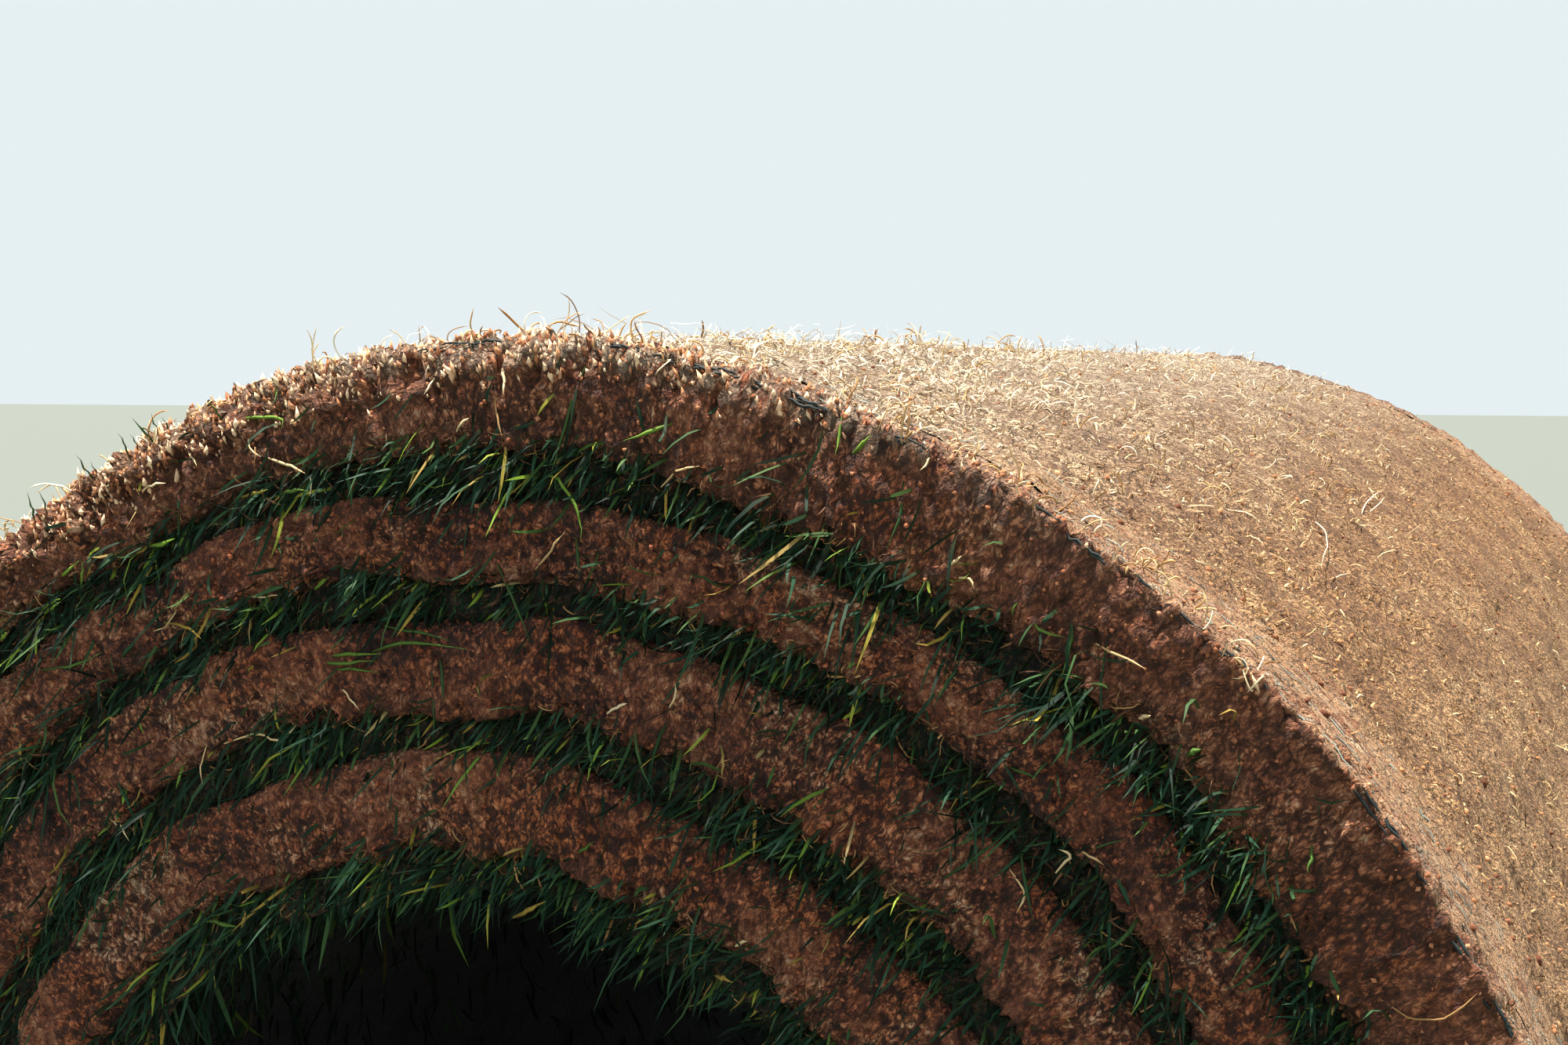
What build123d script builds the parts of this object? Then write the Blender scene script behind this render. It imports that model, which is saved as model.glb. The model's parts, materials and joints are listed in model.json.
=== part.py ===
"""Big roll of thick-cut sports turf, wound soil side out round an open bore.

It lies on its side: the roll's axis runs along Y, the floor is Z = 0, and the
strip's outer end is tucked under the roll on the -X side of the lowest turn.
"""

import os
from math import acos, cos, degrees, floor, radians, sin

from build123d import *

# Driving sizes of the strip, in millimetres
strip_width = 1200.0
soil_thickness = 38.0
pressed_grass = 16.0
free_grass = 20.0

# Driving sizes of the roll, in millimetres
bore_radius = 210.0
upper_turns = 4
grass_setback = 8.0
edge_wear = 5.0

# Place of the strip's inner end, in degrees clockwise from the top, seen along +Y
inner_end_angle = 200.0

# One turn of the strip takes its soil and the grass pressed against the next turn
pitch = soil_thickness + pressed_grass
bore_depth = soil_thickness + free_grass
top_radius = bore_radius + bore_depth + (upper_turns - 1) * pitch


def half_turn_radius(number):
    """Radius of the soil's outer face on a half-turn, counted inwards from the tail's, which is 0."""
    return top_radius + (1 - number) * pitch / 2


def half_turn_centre(number):
    """Upper half-turns, the odd ones, share one centre, and lower ones another, half a pitch to +X."""
    return 0.0 if number % 2 else pitch / 2


# The roll stands on its lowest whole half-turn and on the corner of its tail
axis_height = half_turn_radius(2)
tail_lean = degrees(acos(half_turn_radius(2) / half_turn_radius(0)))

# Places along the winding, in degrees clockwise from the top above the tail
tail = 180.0 + tail_lean
inner_end = inner_end_angle + 360.0 * upper_turns
bore_start = inner_end - 360.0


def half_turn_of(place):
    """The half-turn that holds a place along the winding: each lasts 180 degrees from the level of the axis."""
    return floor((place - 90.0) / 180.0)


def wound_point(number, place, depth):
    """A point at a depth under the soil's outer face, as X and height above the axis."""
    radius = half_turn_radius(number) - depth
    angle = radians(place)
    return Vector(half_turn_centre(number) + radius * sin(angle), radius * cos(angle))


def wound_line(depth, start, end):
    """The winding at one depth, as one tangent arc for each half-turn or part of it."""
    arcs = []
    place = start
    while place < end:
        number = half_turn_of(place)
        stop = min(end, 270.0 + 180.0 * number)
        stations = (place, (place + stop) / 2, stop)
        arcs.append(ThreePointArc(*[wound_point(number, station, depth) for station in stations]))
        place = stop
    return arcs


def closed_face(lines):
    """The face inside a chain of lines that is closed by a straight line from its end to its start."""
    chain = Curve() + lines
    gap = Line(lines[-1] @ 1, lines[0] @ 0)
    return make_face(chain.edges() + gap.edges())


def band(outer_depth, inner_depth, start, end):
    """The face of one layer of the strip between two places along the winding."""
    outer = wound_line(outer_depth, start, end)
    inner = wound_line(inner_depth, start, end)
    ends = [Line(outer[0] @ 0, inner[0] @ 0), Line(outer[-1] @ 1, inner[-1] @ 1)]
    return make_face([edge for line in outer + inner + ends for edge in line.edges()])


def roll_section():
    """The roll's whole section: the outermost turn with its step at the tail, less the stepped bore."""
    outside = closed_face(wound_line(0.0, tail, tail + 360.0))
    bore = closed_face(wound_line(bore_depth, bore_start, inner_end))
    return outside - bore


def grass_section():
    """The grass layer: pressed between the turns, and free where it lines the bore."""
    pressed = band(soil_thickness, pitch, tail, bore_start)
    free = band(soil_thickness, bore_depth, bore_start, inner_end)
    return pressed + free


def side_view(section):
    """A section drawn as X and height above the axis, stood up across the middle of the roll."""
    return Plane.XZ * Pos(0, axis_height) * section


def turf_roll():
    """The roll as one solid: the grass is set back from both cut ends, and the soil's end edges are worn."""
    half_width = strip_width / 2
    roll = extrude(side_view(roll_section()), half_width, both=True)
    groove = side_view(grass_section())
    for side in (-1, 1):
        roll -= extrude(Pos(0, side * half_width, 0) * groove, side * grass_setback)
    end_edges = roll.edges().filter_by(lambda edge: abs(abs(edge.center().Y) - half_width) < 0.01)
    return chamfer(end_edges, edge_wear)


os.makedirs("parts", exist_ok=True)
export_step(turf_roll(), "parts/turf_roll.step")
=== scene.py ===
"""Looks of a big roll of thick-cut turf: crumbly soil, grass between its turns, roots and crumbs."""

import json

import bpy
import numpy as np
from mathutils import Euler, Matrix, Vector

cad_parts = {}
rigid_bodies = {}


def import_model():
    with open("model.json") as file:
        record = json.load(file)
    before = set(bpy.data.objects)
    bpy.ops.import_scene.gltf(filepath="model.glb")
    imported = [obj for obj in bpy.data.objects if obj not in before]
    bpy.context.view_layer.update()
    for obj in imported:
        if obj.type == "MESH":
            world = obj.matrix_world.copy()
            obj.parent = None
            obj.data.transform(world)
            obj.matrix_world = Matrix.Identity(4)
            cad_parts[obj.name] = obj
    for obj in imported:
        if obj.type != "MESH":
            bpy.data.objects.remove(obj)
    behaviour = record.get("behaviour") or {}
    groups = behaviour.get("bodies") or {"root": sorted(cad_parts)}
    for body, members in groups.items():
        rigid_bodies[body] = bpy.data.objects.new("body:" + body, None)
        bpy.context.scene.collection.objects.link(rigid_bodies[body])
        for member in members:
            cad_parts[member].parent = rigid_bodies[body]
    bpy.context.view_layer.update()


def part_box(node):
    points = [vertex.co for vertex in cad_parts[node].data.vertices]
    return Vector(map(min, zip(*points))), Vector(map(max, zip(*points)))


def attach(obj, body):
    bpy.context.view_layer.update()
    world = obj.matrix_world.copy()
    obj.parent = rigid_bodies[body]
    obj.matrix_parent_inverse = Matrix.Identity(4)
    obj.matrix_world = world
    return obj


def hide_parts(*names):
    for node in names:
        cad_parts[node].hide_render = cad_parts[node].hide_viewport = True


# Sizes are in metres and places along the winding in degrees, clockwise from the top seen along +Y.
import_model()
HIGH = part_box("turf_roll")[1]

# The strip, as in the part
SOIL = 0.038
PRESSED_GRASS = 0.016
PITCH = SOIL + PRESSED_GRASS
UPPER_TURNS = 4
INNER_END_ANGLE = 200
HALF_WIDTH = HIGH.y
TOP_RADIUS = HIGH.x
AXIS_HEIGHT = TOP_RADIUS - PITCH / 2
TAIL = 180 + np.degrees(np.arccos(AXIS_HEIGHT / (TOP_RADIUS + PITCH / 2)))
FIRST_TURN_END = TAIL + 360
INNER_END = INNER_END_ANGLE + 360 * UPPER_TURNS
BORE_START = INNER_END - 360

# The soil's worn edges, how far its two end pieces reach in along the outer face, and how deep under
# that face the free grass has its foot
EDGE_WEAR = 0.006
END_REACH = 0.026
GRASS_FOOT = SOIL + 0.016

# Waves of the wound strip, and more where its turns press on each other: height, waves a radian, phase
SLOW_WAVES = ((0.0018, 3.1, 0.6), (0.0014, 7.3, 0), (0.0009, 17, 0))
PRESSED_WAVES = ((0.0012, 11.3, 1), (0.001, 29, 0))

# How far the outer three bands of grass leave an even spiral in the photograph: degrees from the top,
# and mm outwards
UNEVEN_BANDS = (
    ((-60, -42, -28, -12, 5, 28, 36, 42, 50, 62), (0, -1, -8, -7.5, -5, -3, 4, 6, 1, 0)),
    ((-60, -42, 8, 20, 28, 46, 65), (0, 2.5, 2, 8, 12, 12, 0)),
    ((-60, -46, 28, 36, 47, 65), (0, 3, 2, 6, 7, 0)),
)

# The photograph's camera
LENS_PIXELS = 2789
PHOTO_WIDTH = 2000
PHOTO_HEIGHT = 1333
SENSOR = 36.0
EYE = Vector((0.427, -1.334, 0.8245))
EYE_TURN = Euler((np.radians(86.0), 0, np.radians(22.82)))

NEAR, FAR = -1, 1


# Winding


def smooth_step(low, high, value):
    """0 below low, 1 above high and an even S between."""
    share = np.clip((value - low) / (high - low), 0, 1)
    return share * share * (3 - 2 * share)


def from_top(place):
    """Degrees from the top of a place's turn to the place, negative on the left."""
    return (place + 180) % 360 - 180


def off_top(place):
    """Degrees between a place and the top of its turn."""
    return np.abs(from_top(place))


def half_turn(place):
    """The half-turn that holds a place, counted inwards. Each starts level with the axis."""
    return np.floor((place - 90) / 180)


def half_turn_radius(number):
    """Radius of the outer face on a half-turn."""
    return TOP_RADIUS + (1 - number) * PITCH / 2


def level(*values):
    """Numbers and arrays as arrays of one shape."""
    return np.broadcast_arrays(*(np.asarray(value, float) for value in values))


def drift(place, depth):
    """How far inner layers leave the half-turn arcs: the turns are a spiral in a round outer face."""
    inner = np.maximum(np.clip(depth / SOIL, 0, 1), smooth_step(450, 540, place))
    return -inner * PITCH / 4 * np.sin(np.radians(place))


def uneven(place, depth, number):
    """How far the pressed turns leave an even spiral near the top."""
    first, second, third = (np.interp(from_top(place), *band) for band in UNEVEN_BANDS)
    total = (number - 1) * PITCH / 2 + depth
    middle = SOIL + PRESSED_GRASS / 2
    shift = first * np.clip(np.minimum(total / middle, 1 - (total - middle) / PITCH), 0, 1)
    for moved, turn in ((second, 1), (third, 2)):
        shift = shift + moved * np.clip(1 - np.abs(total - middle - turn * PITCH) / PITCH, 0, 1)
    return shift / 1000


def waves(kinds, angle):
    """The sum of sine waves, each with its height, rate and phase."""
    return sum(height * np.sin(rate * angle + phase) for height, rate, phase in kinds)


def lumps(place):
    """Slow unevenness of the wound strip. It fades out where the roll meets the floor."""
    angle = np.radians(place)
    clear = smooth_step(-0.6, 0.1, np.cos(angle))
    pressed = smooth_step(540, 630, place)
    return clear * (waves(SLOW_WAVES, angle) + pressed * waves(PRESSED_WAVES, angle))


def wound(place, depth, y):
    """Points of the strip at places along the winding, at depths under its outer face."""
    place, depth, y = level(place, depth, y)
    number = half_turn(place)
    radius = half_turn_radius(number) - depth + drift(place, depth) + lumps(place)
    radius = radius + uneven(place, depth, number)
    centre = np.where(number % 2 == 0, PITCH / 2, 0.0)
    angle = np.radians(place)
    return np.stack([centre + radius * np.sin(angle), y, AXIS_HEIGHT + radius * np.cos(angle)], -1)


def unwound(place, depth, y):
    """The same points on the strip laid out flat: along it, across its thickness, across its width."""
    place, depth, y = level(place, depth, y)
    length = np.radians((TOP_RADIUS + PITCH) * place - PITCH / 4 * place**2 / 180)
    return np.stack([length, depth, y], -1)


def radial(place):
    """Unit vectors away from the roll's axis."""
    angle = np.radians(place)
    return np.stack([np.sin(angle), 0 * angle, np.cos(angle)], -1)


def combed(place):
    """Unit vectors along the strip towards its tail, the way the grass was combed as it was wound."""
    angle = np.radians(place)
    return np.stack([-np.cos(angle), 0 * angle, np.sin(angle)], -1)


def leftness(place):
    """1 on the left of the first turn, falling to 0 from its upper left to its upper right."""
    return smooth_step(408, 312, place)


def shoulder(place, depth):
    """How far the first turn's worn outer edge falls back: most on its left, little on its right."""
    amount = 0.002 + 0.008 * leftness(place)
    return np.where(place < FIRST_TURN_END, amount * np.clip(1 - depth / 0.024, 0, 1) ** 1.6, 0)


def rim_share(place, depth):
    """How far a place belongs to the crumbling rim under the outer face of the first turn."""
    reach = 0.006 + 0.032 * leftness(place)
    return np.where(place < FIRST_TURN_END, smooth_step(reach, reach * 0.4, depth), 0)


def rim_dust_and_sunlight(place, depth):
    """How dry and pale the rim's crumbs are: real dry dust, with painted sunlight that reaches further
    down on the roll's left, where the light grazes the rim.
    """
    return (0.62 + 0.33 * leftness(place)) * rim_share(place, depth)


def pressed_band(place, inset):
    """Where the outer face is smooth and streaky: beside its ends, right of the top and down."""
    return smooth_step(378, 400, place) * smooth_step(500, 460, place) * smooth_step(0.09, 0.05, inset)


def sunlit_top(place):
    """How much of the outer face is its top, where painted sunlight pales the colour and the roots grow
    longer.
    """
    return smooth_step(45, 0, off_top(place)) * (place > TAIL + 60)


def stations(start, end, fine, coarse, fine_half=75.0):
    """Places along the winding, finely spaced where a turn is near its top and coarsely elsewhere."""
    places = [start]
    while places[-1] < end:
        here = places[-1]
        radius = half_turn_radius(half_turn(here)) - SOIL / 2
        places.append(here + np.degrees((fine if off_top(here) < fine_half else coarse) / radius))
    places[-1] = end
    return np.array(places)[:, None]


def sight(x, y):
    """The way the camera looks at a pixel of the photograph."""
    ray = Vector(((x - PHOTO_WIDTH / 2) / LENS_PIXELS, -(y - PHOTO_HEIGHT / 2) / LENS_PIXELS, -1))
    ray.rotate(EYE_TURN)
    return ray


def seen_at(x, y, out=0.0):
    """The point on the near end, or a little in front of it, that the camera sees at a pixel."""
    ray = sight(x, y)
    return np.array(EYE + ray * ((-HALF_WIDTH - out - EYE.y) / ray.y))


def face_at(x, y, out=0.0):
    """The point on the outer face, or a little over it, that the camera sees at a pixel."""
    ray = sight(x, y)
    way, start = Vector((ray.x, ray.z)), Vector((EYE.x, EYE.z - AXIS_HEIGHT))
    half = start.dot(way) / way.length_squared
    off = (start.length_squared - (TOP_RADIUS + out) ** 2) / way.length_squared
    return np.array(EYE + ray * (-half - np.sqrt(max(half**2 - off, 0.0))))


# Meshes


def mesh_of(name, points, faces, values=None):
    """A smooth mesh from arrays of points and of faces with equal numbers of corners."""
    mesh = bpy.data.meshes.new(name)
    mesh.vertices.add(len(points))
    mesh.vertices.foreach_set("co", np.ravel(points))
    mesh.loops.add(faces.size)
    mesh.loops.foreach_set("vertex_index", faces.ravel())
    mesh.polygons.add(len(faces))
    mesh.polygons.foreach_set("loop_start", np.arange(0, faces.size, faces.shape[1]))
    mesh.polygons.foreach_set("loop_total", np.full(len(faces), faces.shape[1]))
    mesh.polygons.foreach_set("use_smooth", np.ones(len(faces), bool))
    mesh.update(calc_edges=True)
    for key, numbers in (values or {}).items():
        kind, field = ("FLOAT", "value") if np.ndim(numbers) == 1 else ("FLOAT_VECTOR", "vector")
        mesh.attributes.new(key, kind, "POINT").data.foreach_set(field, np.ravel(numbers))
    return mesh


def grid_mesh(name, points, outward, values, bake_rows=1):
    """A mesh from a grid of points. outward is the way its faces look, and values go on its points."""
    rows, columns = points.shape[:2]
    corner = (np.arange(rows - 1)[:, None] * columns + np.arange(columns - 1)).ravel()
    quads = np.stack([corner, corner + 1, corner + columns + 1, corner + columns], 1)
    outward = np.broadcast_to(outward, points.shape)
    along = points[1:, :-1] - points[:-1, :-1]
    across = points[:-1, 1:] - points[:-1, :-1]
    if (np.cross(across, along) * outward[:-1, :-1]).sum() < 0:
        quads = quads[:, ::-1]
    flat = {"outward": outward.reshape(-1, 3)}
    for key, numbers in values.items():
        if np.shape(numbers)[-1:] == (3,) and np.ndim(numbers) == 3:
            flat[key] = np.broadcast_to(numbers, points.shape).reshape(-1, 3)
        else:
            flat[key] = np.broadcast_to(numbers, (rows, columns)).ravel()
    mesh = mesh_of(name, points.reshape(-1, 3), quads, flat)
    bake_map(mesh, quads, rows, columns, bake_rows)
    return mesh


def bake_map(mesh, quads, rows, columns, bake_rows):
    """A UV map that lays the grid out flat, in several rows one above the other where it is long."""
    row, column = np.divmod(quads, columns)
    length = -(-rows // bake_rows)
    strip = row.min(1, keepdims=True) // length
    u = (row - strip * length) / (length + 1)
    v = (strip + 0.02 + 0.96 * column / (columns - 1)) / bake_rows
    mesh.uv_layers.new(name="OFBake").data.foreach_set("uv", np.stack([u, v], -1).ravel())


def new_object(name, mesh):
    """An object that shows a mesh."""
    made = bpy.data.objects.new(name, mesh)
    bpy.context.scene.collection.objects.link(made)
    return made


def on_roll(piece):
    """A finished piece of the roll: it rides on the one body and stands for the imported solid."""
    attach(piece, "root")
    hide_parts("turf_roll")
    return piece


def rounded(points, times=2):
    """A path whose corners are cut off several times, so that a few points make a smooth curl."""
    points = np.asarray(points, float)
    for _ in range(times):
        early = points[:-1] * 0.75 + points[1:] * 0.25
        late = points[:-1] * 0.25 + points[1:] * 0.75
        inner = np.stack([early, late], 1).reshape(-1, points.shape[1])
        points = np.vstack([points[:1], inner[1:-1], points[-1:]])
    return points


def unit(vectors):
    """Vectors brought to a length of 1."""
    return vectors / (np.linalg.norm(vectors, axis=1, keepdims=True) + 1e-12)


def strands(name, paths, finish, point=2.5):
    """Stems and roots as one mesh. They narrow to a tip, which is shorter where point is higher.

    Each path brings its points, the way its ridge looks, its width, its thickness as a share of that,
    and its tone.
    """
    points, faces, tones, along = [], [], [], []
    for line, facing, width, thick, tone in paths:
        way = np.gradient(line, axis=0)
        side = unit(np.cross(way, facing))
        rise = unit(np.cross(side, way))
        share = np.linspace(0, 1, len(line))[:, None]
        taper = np.clip(np.minimum(share * 3 + 0.55, (1 - share) * point + 0.08), 0, 1) * width / 2
        ring = np.stack([line + side * taper, line + rise * thick * taper * 2, line - side * taper], 1)
        first = sum(map(len, points))
        row = first + 3 * np.arange(len(line) - 1)[:, None]
        for a, b in ((0, 1), (1, 2), (2, 0)):
            faces.append(np.concatenate([row + a, row + b, row + b + 3, row + a + 3], 1))
        points.append(ring.reshape(-1, 3))
        tones.append(np.full(ring.shape[0] * 3, tone))
        along.append(np.repeat(share, 3))
    values = {"tone": np.concatenate(tones), "along": np.concatenate(along)}
    mesh = mesh_of(name, np.concatenate(points), np.concatenate(faces), values)
    mesh.materials.append(finish)
    return on_roll(new_object(name, mesh))


# Node trees


class Value:
    """A socket of a node tree that can be used in sums."""

    def __init__(self, tree, socket):
        self.tree, self.socket = tree, socket

    def math(self, operation, *values):
        """One Math node."""
        return self.tree.take("ShaderNodeMath", 0, dict(enumerate(values)), operation=operation)

    def __add__(self, other):
        return self.math("ADD", self, other)

    def __sub__(self, other):
        return self.math("SUBTRACT", self, other)

    def __rsub__(self, other):
        return self.math("SUBTRACT", other, self)

    def __mul__(self, other):
        return self.math("MULTIPLY", self, other)

    __radd__, __rmul__ = __add__, __mul__

    def above(self, low, high):
        """0 where this is under low, 1 where it is over high, and an even S between."""
        inputs = {"Value": self, "From Min": low, "From Max": high}
        return self.tree.take("ShaderNodeMapRange", 0, inputs, interpolation_type="SMOOTHSTEP")


class Tree:
    """A node tree under construction."""

    def __init__(self, tree):
        self.tree = tree

    def node(self, kind, inputs=None, stops=None, **settings):
        """Adds a node: its settings first, then the values or links of its sockets."""
        made = self.tree.nodes.new(kind)
        for key, setting in settings.items():
            setattr(made, key, setting)
        for index, (position, colour) in enumerate(stops or ()):
            elements = made.color_ramp.elements
            element = elements[index] if index < len(elements) else elements.new(position)
            element.position, element.color = position, colour
        for key, value in (inputs or {}).items():
            if isinstance(value, Value):
                self.tree.links.new(value.socket, made.inputs[key])
            else:
                made.inputs[key].default_value = value
        return made

    def take(self, kind, output, inputs=None, **settings):
        """Adds a node and returns one of its outputs."""
        return Value(self, self.node(kind, inputs, **settings).outputs[output])

    def vector(self, operation, *values):
        """Vector Math."""
        return self.take("ShaderNodeVectorMath", 0, dict(enumerate(values)), operation=operation)

    def scaled(self, vector, size):
        """A vector times a number."""
        return self.take("ShaderNodeVectorMath", 0, {0: vector, "Scale": size}, operation="SCALE")

    def noise(self, scale, place, detail=2.0, rough=0.5, output=0):
        """A noise pattern with scale bumps a metre. Output 1 is its colour."""
        inputs = {"Vector": place, "Scale": scale, "Detail": detail, "Roughness": rough}
        return self.take("ShaderNodeTexNoise", output, inputs)

    def sway(self, scale, place):
        """A noise vector, up to half a metre long each way."""
        return self.vector("SUBTRACT", self.noise(scale, place, 1, output=1), (0.5, 0.5, 0.5))

    def streaks(self, scales, place, detail, rough=0.5):
        """A noise pattern with other bumps a metre along each axis."""
        return self.noise(1, self.vector("MULTIPLY", place, scales), detail, rough)

    def upright(self, strip):
        """A place on the flat strip, squeezed so that patterns are drawn out across its thickness."""
        return self.vector("MULTIPLY", strip, (1.0, 0.3, 1.0))

    def pillars(self, strip):
        """Upright clusters of crumbs on the rim: high on a pillar, low in the gaps."""
        return self.noise(170, self.upright(strip), 2, 0.6)

    def patches(self, place):
        """Ragged patches: high where roots and crumbs stand thick, low where the soil is bare."""
        return self.noise(24, place, 5, 0.68)


class Growth(Tree):
    """A Geometry Nodes tree with named inputs, which ends in a finished mesh."""

    def __init__(self, name, numbers):
        super().__init__(bpy.data.node_groups.new(name, "GeometryNodeTree"))
        face = self.tree.interface
        face.new_socket("Geometry", in_out="OUTPUT", socket_type="NodeSocketGeometry")
        kinds = {"Geometry": "Geometry", **dict.fromkeys(("Patches", *numbers), "Float")}
        kinds.update(Seed="Int", Material="Material")
        self.ids = {}
        for key, kind in kinds.items():
            socket = face.new_socket(key, in_out="INPUT", socket_type=f"NodeSocket{kind}")
            self.ids[key] = socket.identifier
        self.group = self.tree.nodes.new("NodeGroupInput")

    def input(self, key):
        """One of the tree's named inputs."""
        return Value(self, self.group.outputs[key])

    def named(self, key, kind="FLOAT"):
        """A value that the mesh brings under a name."""
        return self.take("GeometryNodeInputNamedAttribute", 0, {"Name": key}, data_type=kind)

    def store(self, geometry, key, value, domain="POINT", kind="FLOAT"):
        """Writes a value on the geometry under a name."""
        inputs = {"Geometry": geometry, "Name": key, "Value": value}
        return self.take("GeometryNodeStoreNamedAttribute", 0, inputs, domain=domain, data_type=kind)

    def random(self, low, high, number):
        """A random number for each point, with a seed of its own."""
        inputs = {2: low, 3: high, "Seed": self.input("Seed") + number}
        return self.take("FunctionNodeRandomValue", 1, inputs, data_type="FLOAT")

    def random_vector(self, number):
        """A random vector for each point, of up to 1 m each way."""
        inputs = {0: (-1, -1, -1), 1: (1, 1, 1), "Seed": self.input("Seed") + number}
        return self.take("FunctionNodeRandomValue", 0, inputs, data_type="FLOAT_VECTOR")

    def spread(self, key):
        """A named size, larger or smaller at random for each point by its named spread."""
        return self.input(key) * (1 + self.input(key + " Spread") * self.random(-1.0, 1.0, 4))

    def disordered(self, way):
        """A way that is turned at random for each point, by the named disorder."""
        return self.vector("ADD", way, self.scaled(self.random_vector(2), self.input("Disorder")))

    def scatter(self, kinds, way, size, bend=None):
        """One of several kinds of object at random points of the mesh, each turned one way and sized.

        Where a bend is given, each curls towards that side.
        """
        place = self.take("GeometryNodeInputPosition", 0)
        bare = self.input("Patches") * (1 - self.patches(place).above(0.4, 0.58))
        density = self.input("Density") * self.named("growth") * (1 - bare)
        inputs = {"Mesh": self.input("Geometry"), "Density": density, "Seed": self.input("Seed")}
        points = self.take("GeometryNodeDistributePointsOnFaces", 0, inputs)
        tone = self.random(self.input("Tone Low"), self.input("Tone High"), 1)
        points = self.store(points, "tone", tone)
        spin = self.take("ShaderNodeCombineXYZ", 0, {"Z": self.random(0.0, 2 * np.pi, 3)})
        spin = self.take("FunctionNodeEulerToRotation", 0, {0: spin})
        inputs = {"Rotation": spin, "Vector": way}
        turn = self.take("FunctionNodeAlignRotationToVector", 0, inputs, axis="Z")
        if bend:
            inputs = {"Rotation": turn, "Vector": bend}
            turn = self.take("FunctionNodeAlignRotationToVector", 0, inputs, axis="Y", pivot_axis="Z")
        join = self.node("GeometryNodeJoinGeometry")
        for kind in kinds:
            one = self.take("GeometryNodeObjectInfo", "Geometry", {"Object": kind, "As Instance": True})
            self.tree.links.new(one.socket, join.inputs[0])
        inputs = {4: 0, 5: len(kinds) - 1, "Seed": self.input("Seed") + 7}
        pick = self.take("FunctionNodeRandomValue", 2, inputs, data_type="INT")
        inputs = {"Points": points, "Instance": Value(self, join.outputs[0]), "Pick Instance": True,
                  "Instance Index": pick, "Rotation": turn, "Scale": size}
        return self.take("GeometryNodeInstanceOnPoints", 0, inputs)

    def end(self, geometry):
        """Makes the instances real, gives the material and closes the tree."""
        real = self.take("GeometryNodeRealizeInstances", 0, {"Geometry": geometry})
        inputs = {"Geometry": real, "Material": self.input("Material")}
        finished = self.take("GeometryNodeSetMaterial", 0, inputs)
        out = self.tree.nodes.new("NodeGroupOutput")
        self.tree.links.new(finished.socket, out.inputs[0])
        return self


def crumbling():
    """Moves a soil surface in and out: slow hollows, clods, small crumbs, and the rim's pillars."""
    tree = Growth("crumbling", ("Hollows", "Clods", "Crumbs", "Pillars"))
    place = tree.named("strip", "FLOAT_VECTOR")
    loose = tree.named("loose")
    hollows = (tree.noise(20, place, 3) - 0.5) * tree.input("Hollows")
    clods = (tree.noise(100, place, 3, 0.65) - 0.5) * tree.input("Clods")
    crumbs = (tree.noise(330, place, 2, 0.7) - 0.5) * tree.input("Crumbs")
    pillars = (tree.pillars(place) - 0.47) * tree.input("Pillars") * tree.named("rim")
    height = (hollows + clods + crumbs) * loose + pillars
    push = tree.scaled(tree.named("outward", "FLOAT_VECTOR"), height)
    shake = tree.scaled(tree.sway(420, place), loose * tree.input("Crumbs") * 0.5)
    inputs = {"Geometry": tree.input("Geometry"), "Offset": tree.vector("ADD", push, shake)}
    return tree.end(tree.take("GeometryNodeSetPosition", 0, inputs))


def sprouting(name, kinds):
    """Blades or roots over a surface, each turned to the surface's own lay with clumps and disorder."""
    tree = Growth(name, ("Density", "Length", "Length Spread", "Width", "Least Curl", "Disorder",
                         "Clumps", "Droop", "Tone Low", "Tone High"))
    place = tree.take("GeometryNodeInputPosition", 0)
    clumps = tree.scaled(tree.sway(42, place), tree.input("Clumps"))
    way = tree.disordered(tree.vector("ADD", tree.named("lay", "FLOAT_VECTOR"), clumps))
    length = tree.spread("Length") * tree.named("reach") * (3.2 * tree.noise(34, place, 2) - 0.6)
    width = tree.input("Width") * tree.random(0.6, 1.15, 5)
    curl = length * tree.random(tree.input("Least Curl"), 1.25, 6)
    size = tree.take("ShaderNodeCombineXYZ", 0, {"X": width, "Y": curl, "Z": length})
    droop = tree.scaled((-0.4, 0.0, -1.0), tree.input("Droop"))
    return tree.end(tree.scatter(kinds, way, size, tree.vector("ADD", tree.random_vector(8), droop)))


def littering(name, kinds):
    """Loose crumbs over a surface, drawn out along the way the surface looks, or more upright."""
    tree = Growth(name, ("Density", "Size", "Size Spread", "Stretch", "Disorder", "Upright", "Tone Low",
                         "Tone High"))
    upright = tree.scaled((0.0, 0.0, 1.0), tree.input("Upright"))
    way = tree.disordered(tree.vector("ADD", tree.named("outward", "FLOAT_VECTOR"), upright))
    size = tree.spread("Size")
    wide = size * tree.random(0.7, 1.3, 6)
    tall = size * tree.input("Stretch") * tree.random(0.6, 1.4, 5)
    size = tree.take("ShaderNodeCombineXYZ", 0, {"X": size, "Y": wide, "Z": tall})
    return tree.end(tree.scatter(kinds, way, size))


def grown(name, mesh, growth, material, seed=1, **values):
    """The plain object that a Geometry Nodes tree makes from a mesh."""
    raw = new_object(name + "_raw", mesh)
    modifier = raw.modifiers.new("growth", "NODES")
    modifier.node_group = growth.tree
    for key, value in {**values, "Seed": seed, "Material": material}.items():
        modifier[growth.ids[key.replace("_", " ")]] = value
    evaluated = raw.evaluated_get(bpy.context.evaluated_depsgraph_get())
    finished = bpy.data.meshes.new_from_object(evaluated)
    finished.name = name
    bpy.data.objects.remove(raw)
    return on_roll(new_object(name, finished))


def planted(name, ground, share, growth, material, seed, **values):
    """What grows or lies on a piece of ground. share names the ground's value that says how densely."""
    guide = ground.data.copy()
    if share != "growth":
        guide.attributes[share].name = "growth"
    return grown(name, guide, growth, material, seed, **values)


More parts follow.
